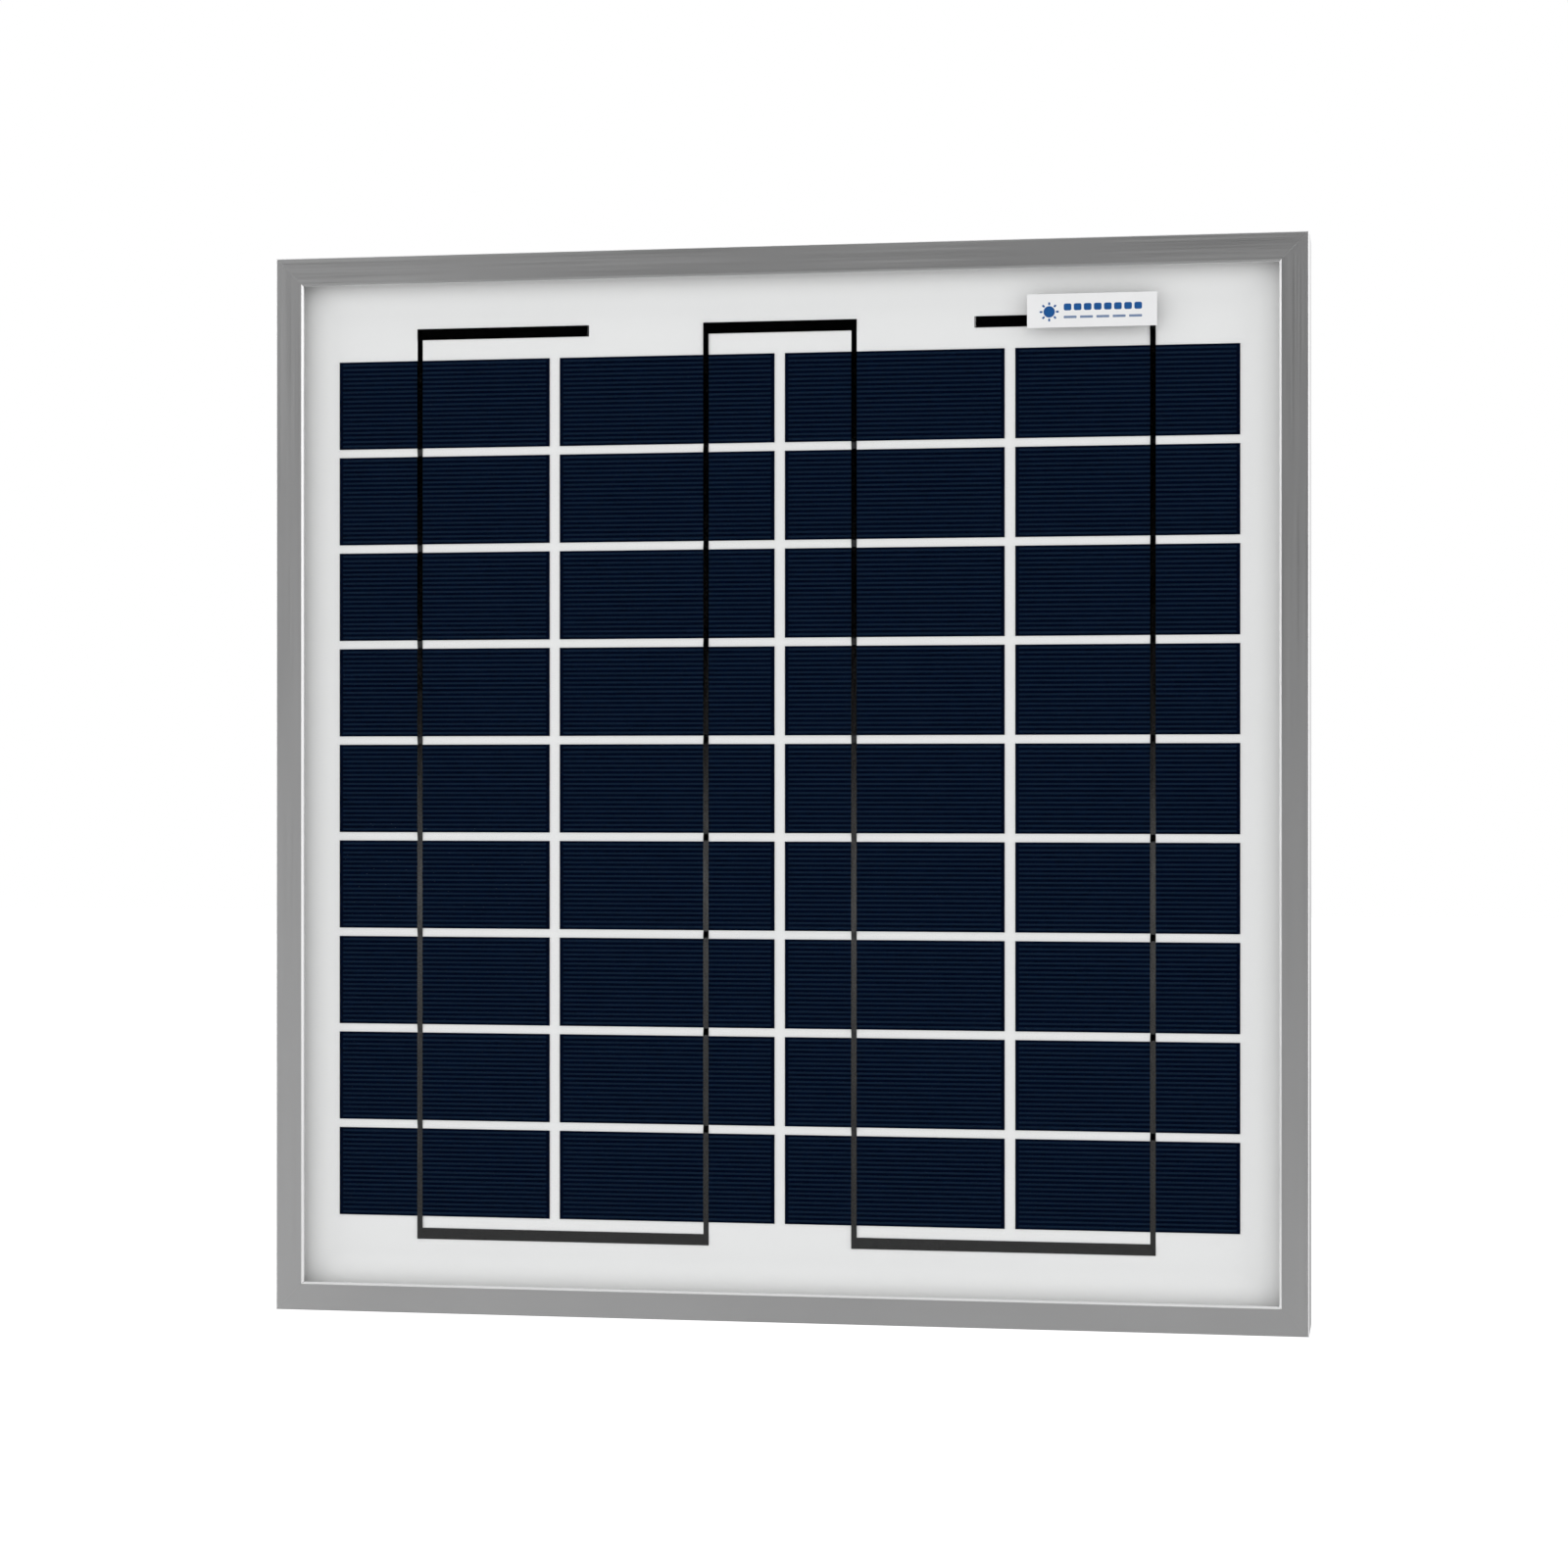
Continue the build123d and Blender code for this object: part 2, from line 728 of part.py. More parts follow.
with BuildPart() as hinge_pin:
    with BuildSketch(Plane.YZ.offset(-hinge_length / 2)):
        with Locations((hinge_y, hinge_z)):
            Circle(pin_diameter / 2)
    extrude(amount=hinge_length)
hinge_pin.part.label = "hinge_pin"
export_step(hinge_pin.part, "parts/hinge_pin.step")

# ---------------------------------------------------------------- terminals

for polarity, side in (("positive", -1), ("negative", 1)):
    with BuildPart() as terminal_rail:
        with BuildSketch(layer(rail_rear)):
            with Locations((side * rail_offset, rail_middle)):
                Rectangle(rail_width, rail_length)
            with Locations(*[place for place in screw_places if place[0] * side > 0]):
                Circle(screw_radius + screw_hole_clearance, mode=Mode.SUBTRACT)
        extrude(amount=rail_thickness)
    terminal_rail.part.label = f"terminal_{polarity}"
    export_step(terminal_rail.part, f"parts/terminal_{polarity}.step")

with BuildPart() as terminal_screws:
    with BuildSketch(layer(rail_rear + screw_head_height)):
        with Locations(*screw_places):
            Circle(screw_head_radius)
    extrude(amount=screw_head_height)
    with BuildSketch(layer(rail_rear)):
        with Locations(*screw_places):
            Circle(screw_radius)
    extrude(amount=screw_length)
    with BuildSketch(layer(rail_rear + screw_head_height)):
        with Locations(*screw_places):
            Rectangle(2 * screw_head_radius, screw_slot_width)
    extrude(amount=screw_slot_depth, mode=Mode.SUBTRACT)
terminal_screws.part.label = "terminal_screws"
export_step(terminal_screws.part, "parts/terminal_screws.step")

# Bypass diode: its wires lie on the two rails
wire_half = rail_offset - rail_width / 2 + diode_wire_reach
diode_y = rail_rear + diode_wire_gap + diode_wire_radius
with BuildPart() as bypass_diode:
    with BuildSketch(Plane.YZ.offset(-diode_length / 2)):
        with Locations((diode_y, screw_row)):
            Circle(diode_radius)
    extrude(amount=diode_length)
    with BuildSketch(Plane.YZ.offset(-wire_half)):
        with Locations((diode_y, screw_row)):
            Circle(diode_wire_radius)
    extrude(amount=2 * wire_half)
bypass_diode.part.label = "bypass_diode"
export_step(bypass_diode.part, "parts/bypass_diode.step")

# ---------------------------------------------------------------- cable glands


def below_box(distance: float) -> Plane:
    """Horizontal plane at a distance under the box's bottom wall."""
    return Plane.XY.offset(box_bottom - distance)


thread_end = gland_thread_out
seal_end = seal_start + seal_length
cap_end = cap_start + cap_length

for side_name, side in (("left", -1), ("right", 1)):
    gland_place = (side * gland_offset, gland_y)

    # Body: a hexagon outside the wall, with a thread on each side of it
    with BuildPart() as gland_body:
        with BuildSketch(below_box(gland_hex_thickness)):
            with Locations(gland_place):
                RegularPolygon(gland_hex / 2, 6, major_radius=False)
        extrude(amount=gland_hex_thickness)
        with BuildSketch(below_box(thread_end)):
            with Locations(gland_place):
                Circle(gland_thread_radius)
        extrude(amount=thread_end + gland_thread_in)
        with BuildSketch(below_box(thread_end)):
            with Locations(gland_place):
                Circle(gland_bore_radius)
        extrude(amount=thread_end + gland_thread_in, mode=Mode.SUBTRACT)
        with BuildSketch(below_box(thread_end)):
            with Locations(gland_place):
                Circle(seal_radius + gland_clearance)
        extrude(amount=thread_end - seal_start, mode=Mode.SUBTRACT)
    gland_body.part.label = f"gland_body_{side_name}"
    export_step(gland_body.part, f"parts/gland_body_{side_name}.step")

    # Seal: a rubber sleeve around the cable, half in the body and half in the cap
    with BuildPart() as gland_seal:
        with BuildSketch(below_box(seal_end)):
            with Locations(gland_place):
                Circle(seal_radius)
                Circle(seal_bore_radius, mode=Mode.SUBTRACT)
        extrude(amount=seal_length)
    gland_seal.part.label = f"gland_seal_{side_name}"
    export_step(gland_seal.part, f"parts/gland_seal_{side_name}.step")

    # Cap nut: it screws over the body's outer thread and squeezes the seal
    with BuildPart() as gland_cap:
        with BuildSketch(below_box(cap_end)):
            with Locations(gland_place):
                RegularPolygon(gland_hex / 2, 6, major_radius=False)
        extrude(amount=cap_length)
        chamfer(gland_cap.faces().sort_by(Axis.Z)[0].edges(), length=cap_chamfer)
        with BuildSketch(below_box(thread_end + gland_clearance)):
            with Locations(gland_place):
                Circle(gland_thread_radius + gland_clearance)
        extrude(amount=thread_end + gland_clearance - cap_start, mode=Mode.SUBTRACT)
        with BuildSketch(below_box(cap_end - cap_end_wall)):
            with Locations(gland_place):
                Circle(seal_radius + gland_clearance)
        extrude(amount=cap_end - cap_end_wall - cap_start, mode=Mode.SUBTRACT)
        with BuildSketch(below_box(cap_end)):
            with Locations(gland_place):
                Circle(cap_hole_radius)
        extrude(amount=cap_length, mode=Mode.SUBTRACT)
    gland_cap.part.label = f"gland_cap_{side_name}"
    export_step(gland_cap.part, f"parts/gland_cap_{side_name}.step")

    # Lock nut: it clamps the body to the wall from inside
    with BuildPart() as gland_lock_nut:
        with BuildSketch(below_box(-box_wall)):
            with Locations(gland_place):
                RegularPolygon(lock_nut_hex / 2, 6, major_radius=False)
                Circle(gland_thread_radius + gland_clearance, mode=Mode.SUBTRACT)
        extrude(amount=lock_nut_thickness)
    gland_lock_nut.part.label = f"gland_lock_nut_{side_name}"
    export_step(gland_lock_nut.part, f"parts/gland_lock_nut_{side_name}.step")
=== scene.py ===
# %% [markdown]
# # A small framed solar panel
# The panel has 36 dark blue cells under glass, a silver anodised frame, and a black junction
# box on its back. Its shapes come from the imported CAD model. This lesson loads that model,
# gives every part a finish, and builds the pieces that need softer or finer shapes.

# %% Load the CAD model
import math

import bpy
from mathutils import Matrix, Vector


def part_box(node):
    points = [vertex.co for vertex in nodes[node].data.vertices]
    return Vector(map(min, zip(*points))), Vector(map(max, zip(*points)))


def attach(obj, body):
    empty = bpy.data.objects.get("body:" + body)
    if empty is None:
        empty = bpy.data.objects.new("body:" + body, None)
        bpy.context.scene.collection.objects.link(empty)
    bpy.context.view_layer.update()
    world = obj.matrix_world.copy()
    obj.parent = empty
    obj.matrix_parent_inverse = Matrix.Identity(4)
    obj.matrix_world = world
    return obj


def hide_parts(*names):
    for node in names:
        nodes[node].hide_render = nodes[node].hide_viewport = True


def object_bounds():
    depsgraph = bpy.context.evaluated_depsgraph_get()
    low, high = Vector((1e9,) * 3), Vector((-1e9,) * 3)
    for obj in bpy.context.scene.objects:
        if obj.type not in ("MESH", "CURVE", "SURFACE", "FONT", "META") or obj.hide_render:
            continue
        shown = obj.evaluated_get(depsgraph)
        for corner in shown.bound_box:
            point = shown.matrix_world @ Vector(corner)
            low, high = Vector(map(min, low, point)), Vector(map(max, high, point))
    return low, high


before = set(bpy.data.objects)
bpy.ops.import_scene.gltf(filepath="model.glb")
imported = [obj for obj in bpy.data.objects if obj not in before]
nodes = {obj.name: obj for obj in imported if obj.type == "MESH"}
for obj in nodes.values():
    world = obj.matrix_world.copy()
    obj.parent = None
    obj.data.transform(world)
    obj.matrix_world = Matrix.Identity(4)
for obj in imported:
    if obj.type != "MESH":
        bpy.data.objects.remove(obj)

cad_low, cad_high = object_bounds()
centre = (cad_low + cad_high) / 2
MM = 0.001
print("CAD nodes:", len(nodes), "box in mm:", [round(v / MM, 1) for v in cad_high - cad_low])

# %% [markdown]
# ## Camera
# The panel is seen from slightly to its right, level with its middle. A long lens keeps the
# frame almost square, with the right side a little taller. The camera is made first, because
# everything after it is judged through it. Its place follows from one angle, one distance and
# a small step to the side.

# %% Camera
VIEW_ANGLE = math.radians(10.05)
VIEW_DISTANCE = 1.0168
VIEW_SIDE_STEP = 0.00143
LENS_LENGTH = 80
SENSOR_WIDTH = 36

front_centre = Vector((0, cad_low.y, centre.z))
backwards = Vector((math.sin(VIEW_ANGLE), -math.cos(VIEW_ANGLE), 0))
sideways = Vector((math.cos(VIEW_ANGLE), math.sin(VIEW_ANGLE), 0))
bpy.ops.object.camera_add(
    location=front_centre + backwards * VIEW_DISTANCE + sideways * VIEW_SIDE_STEP,
    rotation=(math.radians(90), 0, VIEW_ANGLE),
)
camera = bpy.context.object
camera.data.lens = LENS_LENGTH
camera.data.sensor_width = SENSOR_WIDTH
camera.data.clip_start = 0.01
bpy.context.scene.camera = camera
bpy.context.scene.view_settings.view_transform = "Standard"
print("camera at", [round(v, 3) for v in camera.location])

# %% [markdown]
# ## Materials are small graphs
# Each finish is a Principled shader with a few texture nodes in front of it. These helpers
# keep the graphs short: one makes a material, one adds a node and fills its inputs, and the
# others add the textures used most often. All textures read Object coordinates, which are
# metres here, so a scale of 1000 gives features of about a millimetre.

# %% Helpers for materials


def new_material(name, **values):
    """A material, with plain values set on its Principled shader."""
    material = bpy.data.materials.new(name)
    material.use_nodes = True
    shader = material.node_tree.nodes["Principled BSDF"]
    for key, value in values.items():
        shader.inputs[key.replace("_", " ")].default_value = value
    return material, shader


def add(material, kind, settings=None, **inputs):
    """A new node. An input gets a link if it's given a socket, and a value otherwise."""
    node = material.node_tree.nodes.new(kind)
    for key, value in (settings or {}).items():
        setattr(node, key, value)
    for key, value in inputs.items():
        socket = node.inputs[key.replace("_", " ")]
        if isinstance(value, bpy.types.NodeSocket):
            material.node_tree.links.new(value, socket)
        else:
            socket.default_value = value
    return node


def link(material, output, entry):
    material.node_tree.links.new(output, entry)


def places(material, stretch=(1, 1, 1)):
    """Object coordinates, multiplied along X, Y and Z."""
    coordinates = add(material, "ShaderNodeTexCoord").outputs["Object"]
    return add(material, "ShaderNodeMapping", Vector=coordinates, Scale=stretch).outputs[0]


def noise(material, scale, stretch=(1, 1, 1), detail=3.0):
    """A noise between 0 and 1."""
    texture = add(
        material, "ShaderNodeTexNoise", Vector=places(material, stretch), Scale=scale, Detail=detail
    )
    return texture.outputs[0]


def ramp(material, factor, *stops):
    """A colour for each stop, blended between them. A stop is (position, grey or colour)."""
    node = add(material, "ShaderNodeValToRGB", Fac=factor)
    elements = node.color_ramp.elements
    while len(elements) < len(stops):
        elements.new(1.0)
    for element, (position, colour) in zip(elements, stops):
        element.position = position
        element.color = (*colour, 1) if isinstance(colour, tuple) else (colour, colour, colour, 1)
    return node.outputs["Color"]


def roughen(material, shader, height, strength, distance):
    """Bump on the shader's normal."""
    bump = add(material, "ShaderNodeBump", Height=height, Strength=strength, Distance=distance)
    link(material, bump.outputs["Normal"], shader.inputs["Normal"])


# A Mix node has several sockets called A, B and Result. These are the ones for colours.
COLOUR_A = 6
COLOUR_B = 7
COLOUR_RESULT = 2

print("material helpers ready")

# %% [markdown]
# ## Studio
# The background is plain white. The world is white for the camera and for reflections, and a
# little weaker as a light. The floor is white for the camera, pale for the light it throws
# back, and grey in a mirror, which keeps the lower bars and ribbons from turning white. Two
# large soft lamps stand at the sides, so that the frame's edges shine. A black card stands in
# front of the panel, above the middle, and only reflections see it. It leaves the upper
# ribbons black, while the lower ones mirror the floor. The panel hangs by its mounting holes,
# so the floor lies below it.

# %% World
WORLD_AS_LIGHT = 0.90

world = bpy.data.worlds.new("white_studio")
bpy.context.scene.world = world
world.use_nodes = True
sky = world.node_tree.nodes["Background"]
sky.inputs["Color"].default_value = (1, 1, 1, 1)
ray = world.node_tree.nodes.new("ShaderNodeLightPath")
seen = world.node_tree.nodes.new("ShaderNodeMath")
seen.operation = "MAXIMUM"
seen_through = world.node_tree.nodes.new("ShaderNodeMath")
seen_through.operation = "MAXIMUM"
strength = world.node_tree.nodes.new("ShaderNodeMapRange")
strength.inputs["To Min"].default_value = WORLD_AS_LIGHT
strength.inputs["To Max"].default_value = 1.0
for output, entry in (
    (ray.outputs["Is Camera Ray"], seen.inputs[0]),
    (ray.outputs["Is Glossy Ray"], seen.inputs[1]),
    (seen.outputs[0], seen_through.inputs[0]),
    (ray.outputs["Is Transmission Ray"], seen_through.inputs[1]),
    (seen_through.outputs[0], strength.inputs["Value"]),
    (strength.outputs[0], sky.inputs["Strength"]),
):
    world.node_tree.links.new(output, entry)
print("world as a light:", WORLD_AS_LIGHT)

# %% Floor
FLOOR_DROP = 0.45
FLOOR_SIZE = 30.0
FLOOR_AS_LIGHT = 0.80
FLOOR_FOR_CAMERA = 1.25
FLOOR_IN_MIRROR = 0.29

bpy.ops.mesh.primitive_plane_add(size=FLOOR_SIZE, location=(0, 0, cad_low.z - FLOOR_DROP))
floor = bpy.context.object
floor.name = "floor"
floor_material, floor_shader = new_material("pale_floor", Roughness=0.9, Specular_IOR_Level=0.0)
floor_ray = add(floor_material, "ShaderNodeLightPath")
floor_colour = add(
    floor_material, "ShaderNodeMix", {"data_type": "RGBA"}, Factor=floor_ray.outputs["Is Camera Ray"]
)
floor_colour.inputs[COLOUR_A].default_value = (FLOOR_AS_LIGHT, FLOOR_AS_LIGHT, FLOOR_AS_LIGHT, 1)
floor_colour.inputs[COLOUR_B].default_value = (FLOOR_FOR_CAMERA, FLOOR_FOR_CAMERA, FLOOR_FOR_CAMERA, 1)
mirrored_colour = add(
    floor_material, "ShaderNodeMix", {"data_type": "RGBA"}, Factor=floor_ray.outputs["Is Glossy Ray"]
)
link(floor_material, floor_colour.outputs[COLOUR_RESULT], mirrored_colour.inputs[COLOUR_A])
mirrored_colour.inputs[COLOUR_B].default_value = (FLOOR_IN_MIRROR, FLOOR_IN_MIRROR, FLOOR_IN_MIRROR, 1)
link(floor_material, mirrored_colour.outputs[COLOUR_RESULT], floor_shader.inputs["Base Color"])
floor.data.materials.append(floor_material)
print("floor at z", round(floor.location.z, 3))

# %% Lamps and the black card
LAMP_REACH = 1.3
LAMP_SIZE = 1.5
LAMP_POWER = 6.0
LAMP_FORWARD = 0.45
LAMP_RISE = 0.15
CARD_DISTANCE = 2.4
CARD_WIDTH = 4.0
CARD_HEIGHT = 1.8
CARD_SHIFT = -0.3
CARD_FOOT = -0.04

for side in (-1, 1):
    place = Vector((side * LAMP_REACH, -LAMP_FORWARD, LAMP_RISE))
    aim = (front_centre - place).to_track_quat("-Z", "Y").to_euler()
    bpy.ops.object.light_add(type="AREA", location=place, rotation=aim)
    lamp = bpy.context.object
    lamp.name = "side_lamp_right" if side > 0 else "side_lamp_left"
    lamp.data.size = LAMP_SIZE
    lamp.data.energy = LAMP_POWER
    print(lamp.name, "power", LAMP_POWER)

bpy.ops.mesh.primitive_plane_add(
    size=1,
    location=(CARD_SHIFT, -CARD_DISTANCE, CARD_FOOT + CARD_HEIGHT / 2),
    rotation=(math.radians(90), 0, 0),
)
card = bpy.context.object
card.name = "black_card"
card.scale = (CARD_WIDTH, CARD_HEIGHT, 1)
card_material, _ = new_material(
    "black_card", Base_Color=(0, 0, 0, 1), Roughness=1.0, Specular_IOR_Level=0.0
)
card.data.materials.append(card_material)
card.visible_camera = False
card.visible_diffuse = False
card.visible_transmission = False
card.visible_shadow = False
print("black card", CARD_WIDTH, "by", CARD_HEIGHT, "m")

# %% [markdown]
# ## Frame
# The frame is extruded aluminium, anodised to a satin silver. Extrusion leaves very fine lines
# along each bar, and no real edge is perfectly sharp. The CAD mesh has sharp edges and loose
# triangles, so each bar is copied, its points are merged, its flat faces are joined again, and
# a small bevel modifier rounds the edges. The copy then stands for the CAD node.

# %% Helpers that start a piece


def select_only(piece):
    """Makes piece the only selected object, and the active one."""
    bpy.ops.object.select_all(action="DESELECT")
    piece.select_set(True)
    bpy.context.view_layer.objects.active = piece


def apply_modifier(piece, kind, **settings):
    """Adds one modifier and applies it to the mesh."""
    select_only(piece)
    modifier = piece.modifiers.new(kind.lower(), kind)
    for key, value in settings.items():
        setattr(modifier, key, value)
    bpy.ops.object.modifier_apply(modifier=modifier.name)


def started(primitive, name, stretch=(1, 1, 1), **settings):
    """A primitive at its size and place, with that place in its mesh."""
    bpy.ops.object.select_all(action="DESELECT")
    primitive(**settings)
    piece = bpy.context.object
    piece.name = name
    piece.scale = stretch
    select_only(piece)
    bpy.ops.object.transform_apply(location=True, rotation=True, scale=True)
    return piece


def block(name, low, high):
    """A box between two corners, as a start."""
    middle = (Vector(low) + Vector(high)) / 2
    return started(
        bpy.ops.mesh.primitive_cube_add, name, Vector(high) - Vector(low), size=1, location=middle
    )


print("starting helpers ready")

# %% Helpers that shape a piece


def round_corners(piece, radius, segments=3):
    """Rounds the edges that run along Y, from the glass to the back."""
    mesh = piece.data
    select_only(piece)
    bpy.ops.object.mode_set(mode="EDIT")
    bpy.ops.mesh.select_mode(type="EDGE")
    bpy.ops.mesh.select_all(action="DESELECT")
    bpy.ops.object.mode_set(mode="OBJECT")
    for edge in mesh.edges:
        start, end = (mesh.vertices[index].co for index in edge.vertices)
        along = (end - start).normalized()
        edge.select = abs(along.y) > 0.99
    bpy.ops.object.mode_set(mode="EDIT")
    bpy.ops.mesh.bevel(offset=radius, segments=segments, affect="EDGES")
    bpy.ops.object.mode_set(mode="OBJECT")


def repeated(piece, count, step):
    """Repeats the mesh count times, step apart."""
    apply_modifier(
        piece,
        "ARRAY",
        count=count,
        use_relative_offset=False,
        use_constant_offset=True,
        constant_offset_displace=step,
    )


print("shaping helpers ready")

# %% Helpers that copy and finish a piece
SAME_POINT = 0.001 * MM
FLAT_ANGLE = math.radians(0.5)
SHARP_ANGLE = math.radians(30)


def clean_copy(node_name, piece_name):
    """A copy of a CAD node with merged points and whole flat faces."""
    piece = bpy.data.objects.new(piece_name, nodes[node_name].data.copy())
    bpy.context.scene.collection.objects.link(piece)
    piece.data.materials.clear()
    select_only(piece)
    bpy.ops.mesh.customdata_custom_splitnormals_clear()
    bpy.ops.object.mode_set(mode="EDIT")
    bpy.ops.mesh.select_all(action="SELECT")
    bpy.ops.mesh.remove_doubles(threshold=SAME_POINT)
    bpy.ops.mesh.dissolve_limited(angle_limit=FLAT_ANGLE)
    bpy.ops.object.mode_set(mode="OBJECT")
    return piece


def finish_piece(piece, material, body="panel", stands_for=()):
    """Puts the piece's place in its mesh, smooths it, and joins it to its body.

    Weighted normals keep a large face flat where a small bevel meets it.
    """
    select_only(piece)
    bpy.ops.object.transform_apply(location=True, rotation=True, scale=True)
    bpy.ops.object.shade_smooth_by_angle(angle=SHARP_ANGLE)
    apply_modifier(piece, "WEIGHTED_NORMAL", keep_sharp=True, weight=100)
    piece.data.materials.clear()
    piece.data.materials.append(material)
    piece.data.name = piece.name
    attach(piece, body)
    if stands_for:
        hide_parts(*stands_for)
    print(piece.name, "faces:", len(piece.data.polygons))


def dress(material, *node_names):
    """Gives CAD nodes a material."""
    for node_name in node_names:
        nodes[node_name].data.materials.clear()
        nodes[node_name].data.materials.append(material)
    print(material.name, "on", ", ".join(node_names))


print("finishing helpers ready")

# %% Anodised aluminium


def anodised(name, stretch):
    """Satin metal with fine lines along one axis. stretch is small along that axis."""
    material, shader = new_material(name, Metallic=1.0)
    lines = noise(material, 1.0, stretch, 2.0)
    clouds = noise(material, 18.0)
    colour = ramp(material, clouds, (0.3, (0.800, 0.801, 0.804)), (0.7, (0.840, 0.841, 0.844)))
    link(material, colour, shader.inputs["Base Color"])
    link(material, ramp(material, lines, (0.3, 0.40), (0.7, 0.48)), shader.inputs["Roughness"])
    roughen(material, shader, noise(material, 5000.0, detail=1.0), 0.15, 0.00001)
    return material


metal_along_x = anodised("anodised_aluminium_along_x", (12, 2600, 2600))
metal_along_z = anodised("anodised_aluminium_along_z", (2600, 2600, 12))
print("frame metals ready")

# %% Frame bars
FRAME_BEVEL = 0.08 * MM

for side, metal in (
    ("top", metal_along_x),
    ("bottom", metal_along_x),
    ("left", metal_along_z),
    ("right", metal_along_z),
):
    bar = clean_copy(f"frame_{side}", f"{side}_frame_bar")
    apply_modifier(
        bar, "BEVEL", width=FRAME_BEVEL, segments=2, limit_method="ANGLE", angle_limit=math.radians(30)
    )
    finish_piece(bar, metal, stands_for=[f"frame_{side}"])

# %% [markdown]
# The corner keys sit inside the bars. They are plain aluminium blocks, so they keep the CAD
# shape and get a coarser mill finish.

# %% Corner keys
mill_metal, mill_shader = new_material(
    "mill_aluminium", Metallic=1.0, Base_Color=(0.60, 0.61, 0.62, 1)
)
mill_lines = noise(mill_metal, 1.0, (900, 900, 20))
mill_roughness = ramp(mill_metal, mill_lines, (0.3, 0.35), (0.7, 0.55))
link(mill_metal, mill_roughness, mill_shader.inputs["Roughness"])
roughen(mill_metal, mill_shader, mill_lines, 0.3, 0.00003)
dress(mill_metal, *[name for name in nodes if name.startswith("corner_key")])

# %% [markdown]
# ## Glass and the clear layers
# Solar glass is low in iron and coated against reflections, so it is almost invisible from the
# front and shines only at a low angle. A mix of a Transparent and a Glossy shader says that,
# and it lets the lamps reach the cells. The mix follows the viewing angle by Layer Weight.

# %% Solar glass
GLOSS_FALLOFF = 3.0


def clear_layer(name, tint, gloss_at_edge, roughness):
    """A see-through material that mirrors only at a low angle."""
    material = bpy.data.materials.new(name)
    material.use_nodes = True
    material.node_tree.nodes.remove(material.node_tree.nodes["Principled BSDF"])
    see = add(material, "ShaderNodeBsdfTransparent", Color=(*tint, 1))
    mirror = add(material, "ShaderNodeBsdfGlossy", Color=(1, 1, 1, 1), Roughness=roughness)
    weight = add(material, "ShaderNodeLayerWeight", Blend=0.5)
    curve = add(material, "ShaderNodeMath", {"operation": "POWER"})
    link(material, weight.outputs["Facing"], curve.inputs[0])
    curve.inputs[1].default_value = GLOSS_FALLOFF
    share = add(material, "ShaderNodeMath", {"operation": "MULTIPLY"})
    link(material, curve.outputs[0], share.inputs[0])
    share.inputs[1].default_value = gloss_at_edge
    mix = add(material, "ShaderNodeMixShader")
    link(material, share.outputs[0], mix.inputs[0])
    link(material, see.outputs[0], mix.inputs[1])
    link(material, mirror.outputs[0], mix.inputs[2])
    link(material, mix.outputs[0], material.node_tree.nodes["Material Output"].inputs["Surface"])
    return material


solar_glass = clear_layer("solar_glass", (0.996, 0.998, 0.997), 0.35, 0.04)
dress(solar_glass, "front_glass")

# %% [markdown]
# Two sheets of plastic glue the glass, cells and backsheet together. In CAD they flow round
# every cell, so their faces touch all of them. Here each is a thin sheet that keeps a hair's
# gap to its neighbours, so nothing flickers. The front sheet is clear, so only the camera
# sees it, and light goes to the cells without counting its two faces. The rear one is the
# white kind, which throws the light between the cells back up, and it hides the output leads
# behind it. A sheet is a plane, inset for its trimmed edge, and Solidify gives its thickness.

# %% Clear encapsulant
LAYER_GAP = 0.02 * MM
TRIMMED_EDGE = 0.5 * MM
LIP_WIDTH = 8.4 * MM
PAINTED_LIFT_WIDTH = 9.0 * MM


def sheet(name, front, rear, outline):
    """A flat sheet between two depths, as wide and high as a CAD layer."""
    low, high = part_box(outline)
    middle = (low + high) / 2
    piece = started(
        bpy.ops.mesh.primitive_plane_add,
        name,
        (high.x - low.x, high.z - low.z, 1),
        size=1,
        location=(middle.x, (front + rear) / 2, middle.z),
        rotation=(math.radians(90), 0, 0),
    )
    bpy.ops.object.mode_set(mode="EDIT")
    bpy.ops.mesh.select_all(action="SELECT")
    bpy.ops.mesh.inset(thickness=TRIMMED_EDGE)
    bpy.ops.object.mode_set(mode="OBJECT")
    apply_modifier(piece, "SOLIDIFY", thickness=rear - front, offset=0)
    return piece


glass_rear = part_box("front_glass")[1].y
cell_low, cell_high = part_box("cell_string_1")
ribbon_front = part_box("cell_ribbons_1")[0].y
backsheet_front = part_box("backsheet")[0].y

clear_glue = clear_layer("clear_encapsulant", (0.997, 0.997, 0.997), 0.02, 0.3)
front_sheet = sheet(
    "clear_encapsulant", glass_rear + LAYER_GAP, ribbon_front - LAYER_GAP, "front_encapsulant"
)
front_sheet.visible_diffuse = False
front_sheet.visible_glossy = False
front_sheet.visible_transmission = False
front_sheet.visible_shadow = False
finish_piece(front_sheet, clear_glue, stands_for=["front_encapsulant"])

# %% [markdown]
# The white sheet is painted a touch paler near the frame's lip, a painted brightening that
# makes up for the shade the lip casts there. How near a point is to the lip comes from its own X and Z.

# %% White encapsulant
white_glue, white_glue_shader = new_material("white_encapsulant", Roughness=0.6, Specular_IOR_Level=0.1)
place = add(white_glue, "ShaderNodeSeparateXYZ", Vector=places(white_glue))


def painted_lift_near_lip(axis, rim):
    """0 over the middle of the sheet, rising to 1 at the frame's lip; the mask of the painted
    brightening.
    """
    away = add(white_glue, "ShaderNodeMath", {"operation": "ABSOLUTE"})
    link(white_glue, place.outputs[axis], away.inputs[0])
    rise = add(white_glue, "ShaderNodeMapRange", Value=away.outputs[0])
    rise.inputs["From Min"].default_value = rim - PAINTED_LIFT_WIDTH
    rise.inputs["From Max"].default_value = rim
    return rise.outputs[0]


